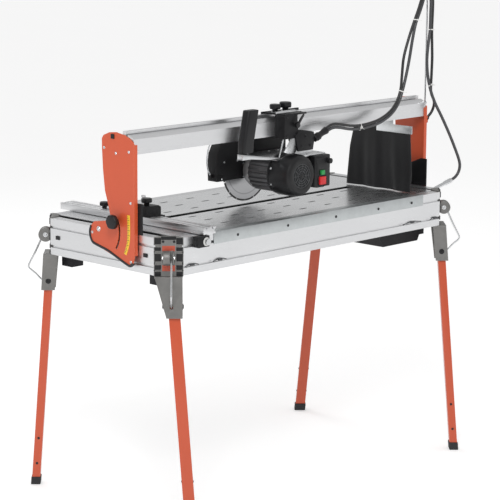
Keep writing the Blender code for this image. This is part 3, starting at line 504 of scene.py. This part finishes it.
def tie(name, first, second, body=None, blend=None):
    """Nylon tie: a flat band round both strands, with its lock and cut tail."""
    middle = (first + second) / 2
    across = (second - first).normalized()
    run = Vector((0, 1, 0)).cross(across).normalized()
    depth = run.cross(across)
    half = (second - first).length / 2 + 0.0070
    band = []
    for along in (-0.0018, 0.0018):
        band.append([middle + run * along + across * math.cos(a) * half + depth * math.sin(a) * 0.0070
                     for a in [2 * math.pi * i / 24 for i in range(24)]])
    lock = [middle + depth * 0.0075 + across * s + run * t for s, t in ((-0.003, -0.0025), (0.003, -0.0025),
                                                                        (0.003, 0.0025), (-0.003, 0.0025))]
    tail = [middle + depth * 0.0075 + run * t + across * 0.002 for t in (-0.0012, 0.0012)]
    parts = [loft(band), loft([lock, [p + depth * 0.004 for p in lock]]),
             loft([[tail[0], tail[1], tail[1] + across * 0.0008, tail[0] + across * 0.0008],
                   [p + depth * 0.016 + across * 0.004 for p in
                    (tail[0], tail[1], tail[1] + across * 0.0008, tail[0] + across * 0.0008)]])]
    obj = piece(name, merged(parts), "tie", body, smooth=40)
    if blend:
        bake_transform(obj)
    return obj


def make_ties():
    reach = next(i for i, p in enumerate(CABLE) if p.x > 0.325)
    near = min(HOSE_RISE, key=lambda p: (p - CABLE[reach]).length)
    tie("cord_tie_a", CABLE[reach], near, blend=True)
    for name, height in (("cord_tie_b", 1.445), ("cord_tie_c", 1.715)):
        spot = CABLE[at_height(CABLE, height)]
        tie(name, spot, min(HOSE_RISE, key=lambda p: (p - spot).length), blend=True)
    for name, height in (("cord_tie_d", 1.660), ("cord_tie_e", 1.448)):
        spot = CABLE[at_height(CABLE, height, False)]
        other = min(HOSE_FALL, key=lambda p: (p - spot).length)
        tie(name, spot, other, "bridge")


make_ties()


# ----------------------------------------------------------------- curtain
def curtain_edges(z):
    """Front and rear edge of the curtain at a height."""
    low, high = 1.043, 1.300
    share = (high - z) / (high - low)
    front = -0.272 - 0.013 * share
    rear = 0.010 + 0.022 * min(share / 0.39, 1.0) + 0.013 * max((share - 0.39) / 0.61, 0.0)
    return front, rear


def make_curtain():
    """Rubber sheet hung from its strip, with soft folds that deepen downwards."""
    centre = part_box("curtain")[0].x + 0.0015
    top, bottom = 1.300, 1.0435
    rows, columns = 26, 40
    rings = []
    for r in range(rows + 1):
        drop = r / rows
        z = top + (bottom - top) * drop
        front, rear = curtain_edges(z)
        line = []
        for c in range(columns + 1):
            share = c / columns
            y = front + (rear - front) * share
            fold = 0.0050 * drop ** 0.8 * math.sin(2 * math.pi * (2.6 * share + 0.15 * drop) + 0.7)
            small = 0.0016 * drop * math.sin(2 * math.pi * 6.5 * share + 2.0 * drop)
            kick = -0.012 * max(drop - 0.72, 0) / 0.28 * max(0.0, 1 - share / 0.25)
            line.append((centre + fold + small + kick, y, z))
        rings.append(line)
    obj = piece("curtain_sheet", loft(rings, closed=False), "curtain", smooth=80)
    thick = obj.modifiers.new("thickness", "SOLIDIFY")
    thick.thickness, thick.offset = 0.0028, 0.0
    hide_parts("curtain")
    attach(obj, "bridge")
    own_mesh(obj)


make_curtain()

# ---------------------------------------------------- finishes of CAD nodes
CORNERS = {"fl": (-1, -1), "fr": (1, -1), "rl": (-1, 1), "rr": (1, 1)}
MOTOR = Vector((-0.054, 0, 1.179))     # on the axis shared by the motor and the disc
DISC = (-0.054, -0.012, 1.179)


def smooth_group():
    """Node group that shades smooth, except across edges sharper than about 30 degrees."""
    group = bpy.data.node_groups.new("smooth_by_angle", "GeometryNodeTree")
    group.interface.new_socket("Geometry", in_out="INPUT", socket_type="NodeSocketGeometry")
    group.interface.new_socket("Geometry", in_out="OUTPUT", socket_type="NodeSocketGeometry")
    nodes, links = group.nodes, group.links
    source, result = nodes.new("NodeGroupInput"), nodes.new("NodeGroupOutput")
    angle, sharper = nodes.new("GeometryNodeInputMeshEdgeAngle"), nodes.new("FunctionNodeCompare")
    sharper.inputs["B"].default_value = math.radians(32)
    links.new(angle.outputs["Unsigned Angle"], sharper.inputs["A"])
    soft, sharp = nodes.new("GeometryNodeSetShadeSmooth"), nodes.new("GeometryNodeSetShadeSmooth")
    sharp.domain = "EDGE"
    sharp.inputs["Shade Smooth"].default_value = False
    links.new(source.outputs[0], soft.inputs["Geometry"])
    links.new(soft.outputs["Geometry"], sharp.inputs["Geometry"])
    links.new(sharper.outputs["Result"], sharp.inputs["Selection"])
    links.new(sharp.outputs["Geometry"], result.inputs[0])
    return group


SMOOTH = smooth_group()


def dress(names, finish, bevel=0.0, segments=2, pierced=False):
    """Give CAD nodes their finish and rounded edges, by modifiers that leave the mesh alone.

    A pierced plate keeps its triangles, because one flat face can't have holes.
    """
    for name in names:
        obj = NODES[name]
        material = FINISH[finish] if isinstance(finish, str) else finish
        for entry in obj.material_slots:
            entry.material = material
        weld = obj.modifiers.new("weld", "WELD")
        weld.merge_threshold = 0.00002
        if not pierced:
            plain = obj.modifiers.new("plain", "DECIMATE")
            plain.decimate_type = "DISSOLVE"
            plain.angle_limit = math.radians(1.5)
        if bevel:
            add_bevel(obj, bevel, segments)
        obj.modifiers.new("smooth", "NODES").node_group = SMOOTH


def each(stem):
    return [stem + key for key in CORNERS]


dress(["rail_front", "rail_rear", "beam"], "alu_x", pierced=True)
dress(["rail_left", "rail_right"], "alu_y", pierced=True)
dress(["fence_rail"], "alu_y", 0.0010)
dress(["head_arm"], "steel", 0.0012)
dress(["table"], "table", pierced=True)
dress(["splash_strip"], "strip", 0.0004)
dress(["curtain_strip"], "sheet", 0.0004)
dress(each("corner_"), "cast", 0.0012)
dress(each("leg_"), "orange_leg", 0.0030, 3)
dress(["end_plate_left", "end_plate_right"], "orange", pierced=True)
dress(each("foot_"), "rubber", 0.0030, 3)
dress(each("latch_") + ["hose_post", "stop_rod", "clamp_screw", "hose_coupling", "arbor"], "steel")
dress(["water_tray"], "tray", 0.0030, 3)
dress(["tilt_bracket_left", "tilt_bracket_right", "carriage"], "alloy", 0.0014)
dress(["fence_stop", "fence_clamp"], "plastic")
dress(["stop_knob", "fence_knob", "tilt_knob_left", "tilt_knob_right", "carriage_knob_a", "carriage_knob_b"],
      "satin", 0.0016, 3)
dress(["lock_lever", "cable_gland", "switch_box"], "satin", 0.0008)
dress(["guard"], "plastic", 0.0022, 3)
dress(["motor"], "motor", 0.0010)
dress(["fan_cover"], "satin", 0.0012)
dress(["start_button"], "green")
dress(["stop_button"], "red")
dress(["guard_tube"], "clear")
dress(["blade"], disc_material(DISC), pierced=True)
dress(["grip"], "satin", 0.006, 4)


# ----------------------------------------------------------- fine details
HALF_X, HALF_Y, CHAMFER = 0.780, 0.3436, 0.0724
PIVOT_Z, LEG_SPLAY = 0.800, 0.111
LEG_X, LEG_Y, LEG_TOP = 0.740, 0.333, 0.763
BRACKET_TOP = 0.9055          # where the bracket starts to narrow towards the leg's top
PLATE_FACE = 0.800
RIBS = ((0.9032, 0.9215), (0.9268, 0.9447), (0.956, 0.9845), (0.993, 1.007), (1.016, 1.0405))
SLOT_Y = -0.012


def ring(centre, direction, outer, inner, depth, sides=40):
    """Flat ring with square edges, starting at centre and growing along direction."""
    u, v, w = axes_for(direction)
    centre = Vector(centre)
    loops = [[centre + w * along + (u * math.cos(2 * math.pi * i / sides)
                                    + v * math.sin(2 * math.pi * i / sides)) * radius for i in range(sides)]
             for along, radius in ((0, outer), (depth, outer), (depth, inner), (0, inner), (0, outer))]
    return loft(loops, closed=False, cyclic=True)


def bolt(place, direction, size=0.0045, height=0.0030, hexagon=True):
    """Bolt head on a washer, with a chamfered top and a socket."""
    u, v, w = axes_for(direction)
    place = Vector(place)
    washer = turned([(0, size * 1.45), (size * 0.25, size * 1.45), (size * 0.25, size * 0.6)], place, w, 24)
    head = turned([(size * 0.25, size), (height * 0.85, size), (height, size * 0.82), (height, size * 0.48),
                   (height * 0.55, size * 0.42)], place, w, 6 if hexagon else 24)
    return [washer, head]


def corner_frame(sx, sy):
    """Place of a point n outwards and t across a frame corner, at a height."""
    out = Vector((sx, sy, 0)) / math.sqrt(2)
    across = Vector((-sy, sx, 0)) / math.sqrt(2)
    middle = Vector((sx * (HALF_X - CHAMFER / 2), sy * (HALF_Y - CHAMFER / 2), 0))

    def at(n, t, z):
        return middle + out * n + across * t + Vector((0, 0, z))
    return at, out, across


def slab(at, n0, n1, t0, t1, z0, z1):
    return loft([[at(n0, t0, z), at(n1, t0, z), at(n1, t1, z), at(n0, t1, z)] for z in (z0, z1)])


def make_corner(key, sx, sy):
    at, out, across = corner_frame(sx, sy)
    turn = sx * sy
    ribs = [slab(at, -0.002, 0.0040, *sorted((side * 0.0270, side * 0.0490)), z0 + 0.001, z1 - 0.001)
            for side in (-1, 1) for z0, z1 in RIBS]
    piece("corner_pads_" + key, merged(ribs), "satin", "frame", 0.0012, 2)
    marks = [slab(at, 0.0030, 0.0037, -0.0220, 0.0220, z0, z1)
             for z0, z1 in ((0.9230, 0.9440), (0.9930, 1.0120))]
    piece("corner_marks_" + key, merged(marks), "brick", "frame", 0.0002, 1)
    cap = slab(at, 0.0005, 0.0046, -0.0260, 0.0260, 1.0330, 1.0452)
    piece("corner_cap_" + key, cap, "satin", "frame", 0.0015, 3)
    bolts, pivots = [], []
    for side in (-1, 1):
        bolts += bolt(at(0.021, side * 0.0180, 0.972), across * side, 0.0060, 0.0045)
        leg_place = Vector((sx * LEG_X, sy * (LEG_Y + (LEG_TOP - PIVOT_Z) * LEG_SPLAY), PIVOT_Z))
        n = (leg_place - at(0, 0, PIVOT_Z)).dot(out)
        centre = 0.0208 * turn * (BRACKET_TOP - PIVOT_Z) / (BRACKET_TOP - LEG_TOP)
        half = 0.048 - 0.020 * (BRACKET_TOP - PIVOT_Z) / (BRACKET_TOP - LEG_TOP)
        pivots += bolt(at(n, centre + side * (half + 0.0003), PIVOT_Z), across * side, 0.0072, 0.0040)
        pivots += bolt(at(0.0030, side * 0.0190, 1.0265), out, 0.0032, 0.0026)
    piece("corner_bolts_" + key, merged(bolts), "steel", "frame", 0.0003, 1, 30)
    piece("corner_pivots_" + key, merged(pivots), "satin", "frame", 0.0003, 1, 30)
    rivets = []
    for height in (0.085, 0.185):
        foot = Vector((sx * LEG_X, sy * (LEG_Y + (LEG_TOP - height) * LEG_SPLAY), height))
        for side in (-1, 1):
            rivets += bolt(foot + across * side * 0.0200, across * side, 0.0034, 0.0022, False)
    piece("leg_screws_" + key, merged(rivets), "satin", "leg_" + key, 0.0002, 1, 30)


for key, (sx, sy) in CORNERS.items():
    make_corner(key, sx, sy)


def strip_along(points, half, x0, x1):
    """Flat strip lying square to X along (Y, Z) points."""
    left, right = [], []
    for i, point in enumerate(points):
        before, after = points[max(i - 1, 0)], points[min(i + 1, len(points) - 1)]
        run = Vector((after[0] - before[0], after[1] - before[1])).normalized()
        side = Vector((-run.y, run.x)) * half
        left.append((point[0] + side.x, point[1] + side.y))
        right.append((point[0] - side.x, point[1] - side.y))
    return loft([[(x0, *a), (x1, *a), (x1, *b), (x0, *b)] for a, b in zip(left, right)])


def make_plate(name, side):
    """Trim, scale, plug and screws of one end plate."""
    face = side * PLATE_FACE
    arc_points = [(SLOT_Y + 0.047 * math.cos(math.radians(a)), 1.0225 + 0.047 * math.sin(math.radians(a)))
                  for a in range(30, -53, -6)]
    edge = arc_points + [(-0.0620, 0.9672), (-0.1060, 0.9505), (-0.150, 0.934), (-0.172, 0.9285),
                         (-0.188, 0.938)]
    edge = [(side * 0.7985, y, z) for y, z in edge]
    piece("plate_trim_" + name, swept(smooth_path(edge, 0.006), 0.0058, 12, flat=0.8), "rubber", "bridge",
          smooth=60)
    scale = [(-0.166, 1.107), (-0.1672, 1.060), (-0.165, 1.015), (-0.158, 0.990), (-0.1485, 0.967)]
    scale = [(p.x, p.y) for p in smooth_path([(y, z, 0) for y, z in scale], 0.006)]
    piece("tilt_scale_" + name, strip_along(scale, 0.0065, face, face + side * 0.0005), "yellow", "bridge",
          smooth=60)
    ticks = []
    for i in range(1, len(scale) - 1):
        long = 0.0052 if i % 3 == 0 else 0.0030
        y, z = scale[i]
        lo, hi = sorted((face + side * 0.0005, face + side * 0.0008))
        ticks.append(block((lo, y + 0.0060 - 2 * long, z - 0.0009), (hi, y + 0.0060, z + 0.0009)))
    piece("scale_ticks_" + name, merged(ticks), "satin", "bridge")
    lo, hi = sorted((face, face + side * 0.0030))
    plug = block((lo, -0.0965, 1.3670), (hi, -0.0795, 1.3835))
    piece("plate_plug_" + name, plug, "satin", "bridge", 0.0010, 2)
    screws = []
    for y, z in ((-0.043, 1.332), (-0.103, 1.3175), (-0.169, 1.328), (0.022, 1.024), (-0.177, 0.943),
                 (-0.177, 1.150)):
        screws += bolt((face, y, z), (side, 0, 0), 0.0036, 0.0026)
    screws += bolt((face, -0.0120, 1.040), (side, 0, 0), 0.0065, 0.0050)
    piece("plate_screws_" + name, merged(screws), "steel", "bridge", 0.0003, 1, 30)


for name, side in (("left", -1), ("right", 1)):
    make_plate(name, side)


def make_entry():
    """Cable entry and post clamp on the right end plate."""
    cover = [block((0.8062, -0.1940, 1.2930), (0.8085, -0.1780, 1.3170)),
             turned([(0, 0.0092), (0.003, 0.0095), (0.012, 0.0088), (0.0145, 0.0064)],
                    (0.8045, -0.1862, 1.3056), (0.8183 - 0.8045, 0, 1.3152 - 1.3056), 24)]
    piece("cable_entry", merged(cover), "satin", "bridge", 0.0008, 2)
    clamps = []
    for z in (1.332, 1.372):
        clamps.append(block((0.8000, -0.1900, z - 0.004), (0.8022, -0.1660, z + 0.004)))
        clamps.append(ring((0.8065, -0.178, z - 0.004), (0, 0, 1), 0.0062, 0.0035, 0.008, 24))
        clamps += bolt((0.8022, -0.1690, z), (1, 0, 0), 0.0028, 0.0022)
    piece("post_clamps", merged(clamps), "sheet", "bridge", 0.0003, 1)


make_entry()


def make_motor_details():
    """Fan grille, collar, cover screws and nose bolts round the motor's axis."""
    bars = [ring(MOTOR + Vector((0, -0.2970, 0)), (0, -1, 0), r, r - 0.0024, 0.0018, 40)
            for r in (0.0455, 0.0370, 0.0285, 0.0200)]
    for i in range(12):
        a = 2 * math.pi * i / 12
        ray = Vector((math.cos(a), 0, math.sin(a)))
        bars.append(swept([MOTOR + ray * 0.008 + Vector((0, -0.2978, 0)),
                           MOTOR + ray * 0.0450 + Vector((0, -0.2978, 0))], 0.0012, 8))
    piece("fan_grille", merged(bars), "clip", "head", smooth=40)
    collar = ring(MOTOR + Vector((0, -0.1915, 0)), (0, -1, 0), 0.0765, 0.0650, 0.0072, 48)
    piece("motor_collar", collar, "satin", "head", 0.0008, 2)
    screws = []
    for degrees in (160, 205, 250, 290, 335):
        a = math.radians(degrees)
        ray = Vector((math.cos(a), 0, math.sin(a)))
        screws += bolt(MOTOR + ray * 0.0784 + Vector((0, -0.2100, 0)), ray, 0.0030, 0.0020, False)
    for degrees in (30, 100, 150, 210, 270, 330):
        a = math.radians(degrees)
        ray = Vector((math.cos(a), 0, math.sin(a)))
        screws += bolt(MOTOR + ray * 0.0505 + Vector((0, -0.0425, 0)), (0, 1, 0), 0.0026, 0.0015)
    piece("motor_screws", merged(screws), "steel", "head", smooth=30)


make_motor_details()


def make_head_details():
    """Lugs and bolts of the guard, arm, carriage and switch box."""
    lug = [block((-0.2415, -0.0450, 1.1480), (-0.2050, -0.0420, 1.1700)),
           block((-0.2530, -0.0250, 1.1600), (-0.2390, -0.0130, 1.1740))]
    piece("guard_lug", merged(lug), "plastic", "head", 0.0012, 2)
    bolts = bolt((-0.2150, -0.0450, 1.1560), (0, -1, 0), 0.0030, 0.0022)
    for x in (-0.200, -0.130, 0.100):
        bolts += bolt((x, -0.0420, 1.2180), (0, -1, 0), 0.0030, 0.0022)
    for x in (-0.105, 0.010, 0.060, 0.125):
        for y in (-0.0700, -0.2200):
            bolts += bolt((x, y, 1.2425), (0, 0, 1), 0.0036, 0.0028)
    piece("head_bolts", merged(bolts), "steel", "head", smooth=30)
    bezel = [ring((0.1120, -0.2500, 1.1405), (0, -1, 0), 0.0262, 0.0238, 0.0018, 36),
             block((0.0800, -0.2512, 1.2050), (0.1440, -0.2500, 1.2250))]
    piece("switch_trim", merged(bezel), "plastic", "head", 0.0005, 1)
    cheek = []
    for x, z in ((0.000, 1.280), (0.045, 1.280), (0.020, 1.316)):
        cheek += bolt((x, -0.2490, z), (0, -1, 0), 0.0042, 0.0034)
    for x, z in ((-0.074, 1.322), (-0.074, 1.390), (-0.034, 1.325), (0.050, 1.320)):
        cheek += bolt((x, -0.2420, z), (0, -1, 0), 0.0032, 0.0026)
    cheek += bolt((0.075, -0.2000, 1.290), (0, -1, 0), 0.0075, 0.0060)
    for x in (-0.070, 0.015):
        cheek += bolt((x, -0.2250, 1.4045), (0, 0, 1), 0.0034, 0.0028)
    piece("carriage_bolts", merged(cheek), "alloy", "carriage", smooth=30)
    strap = [(-0.0880, -0.1960, 1.4062), (-0.0620, -0.2060, 1.4088), (-0.0340, -0.2100, 1.4100),
             (-0.0060, -0.2060, 1.4088), (0.0220, -0.1940, 1.4062)]
    piece("knob_strap", swept(smooth_path(strap, 0.005), 0.0052, 12, flat=0.28), "steel", "carriage",
          smooth=60)
    seats = [ring((x, -0.168, 1.4040), (0, 0, 1), radius, 0.0060, 0.0016, 32)
             for x, radius in ((-0.062, 0.0150), (-0.006, 0.0160))]
    piece("knob_washers", merged(seats), "sheet", "carriage", smooth=30)


make_head_details()


def make_rail_details():
    """Screws of the splash strip, clips and plugs of the rails, and the fence's small parts."""
    screws = []
    for x in (-0.440, -0.178, 0.086, 0.330, 0.530):
        screws += bolt((x, -HALF_Y - 0.0023, 1.0170), (0, -1, 0), 0.0036, 0.0022, False)
    piece("strip_screws", merged(screws), "satin", "frame", smooth=30)
    clips = []
    for x0, x1 in ((-0.703, -0.635), (-0.565, -0.497), (0.478, 0.590), (0.648, 0.702)):
        y, middle = -HALF_Y - 0.0032, (x0 + x1) / 2
        wire = [(x0, y + 0.0012, 0.9370), (middle - 0.015, y, 0.9420), (middle + 0.015, y, 0.9420),
                (x1, y + 0.0012, 0.9370)]
        clips.append(swept(smooth_path(wire, 0.004), 0.0018, 10))
        clips.append(block((middle - 0.009, -HALF_Y - 0.0075, 0.9375),
                           (middle + 0.009, -HALF_Y - 0.0003, 0.9445)))
    piece("rail_clips", merged(clips), "clip", "frame", 0.0005, 1)
    ends = []
    for sx in (-1, 1):
        lo, hi = sorted((sx * (HALF_X + 0.0003), sx * (HALF_X + 0.0030)))
        for y in (-0.230, 0.230):
            ends.append(block((lo, y - 0.010, 0.9650), (hi, y + 0.010, 0.9790)))
    piece("rail_plugs", merged(ends), "satin", "frame", 0.0008, 2)
    collar = ring((-0.624, -0.3722, 1.019), (0, -1, 0), 0.0150, 0.0085, 0.0016, 32)
    piece("clamp_collar", collar, "tie", "frame", smooth=30)
    post = turned([(0, 0.0085), (0.001, 0.0092), (0.006, 0.0092), (0.007, 0.0074), (0.060, 0.0074),
                   (0.062, 0.0080), (0.067, 0.0080), (0.068, 0.0070)], (-0.585, -0.0140, 1.0670),
                  (0, 0, 1), 28)
    piece("stop_gauge", post, "milky", "side_stop", smooth=40)
    fingers = [block((-0.5560, y - 0.0028, 1.0560), (-0.5300, y + 0.0028, 1.0640))
               for y in (-0.066, -0.054, -0.042, -0.030)]
    piece("stop_fingers", merged(fingers), "plastic", "side_stop", 0.0010, 2)


make_rail_details()


# ------------------------------------------------------------------- stage
def make_floor():
    material, nodes, links = nodes_of("floor")
    shader = nodes["Principled BSDF"]
    place = nodes.new("ShaderNodeTexCoord").outputs["Object"]
    links.new(mix(nodes, links, noise(nodes, links, place, 0.8), (0.86, 0.86, 0.86), (0.88, 0.88, 0.88)),
              shader.inputs["Base Color"])
    shader.inputs["Roughness"].default_value = 0.9
    shader.inputs["Emission Color"].default_value = (1.0, 1.0, 1.0, 1.0)
    shader.inputs["Emission Strength"].default_value = 0.36
    bm = bmesh.new()
    bmesh.ops.create_grid(bm, x_segments=1, y_segments=1, size=90)
    mesh = bpy.data.meshes.new("floor")
    bm.to_mesh(mesh)
    bm.free()
    mesh.materials.append(material)
    floor = bpy.data.objects.new("floor", mesh)
    bpy.context.scene.collection.objects.link(floor)


def area_light(name, place, target, size, power):
    data = bpy.data.lights.new(name, "AREA")
    data.shape, data.size, data.energy = "SQUARE", size, power
    lamp = bpy.data.objects.new(name, data)
    bpy.context.scene.collection.objects.link(lamp)
    lamp.location = place
    lamp.rotation_mode = "QUATERNION"
    lamp.rotation_quaternion = (Vector(target) - Vector(place)).to_track_quat("-Z", "Y")


def make_light():
    """White room, a little brighter overhead, with a soft key from the left and a rim from behind."""
    bpy.context.scene.view_settings.view_transform = "Standard"
    world = bpy.data.worlds.new("studio")
    bpy.context.scene.world = world
    world.use_nodes = True
    nodes, links = world.node_tree.nodes, world.node_tree.links
    height = nodes.new("ShaderNodeSeparateXYZ")
    links.new(nodes.new("ShaderNodeTexCoord").outputs["Generated"], height.inputs[0])
    tone = spread(nodes, links, height.outputs["Z"], 0.50, 0.68, 0.0, 0.8)
    nodes["Background"].inputs["Color"].default_value = (1.0, 1.0, 1.0, 1.0)
    links.new(tone, nodes["Background"].inputs["Strength"])
    area_light("key", (-3.5, -3.0, 4.5), (0, 0, 0.9), 1.5, 120)
    area_light("fill", (4.5, -3.0, 2.5), (0, 0, 0.9), 3.0, 8)
    area_light("rim", (1.0, 4.5, 4.0), (0, 0, 1.0), 2.0, 40)


make_floor()
make_light()
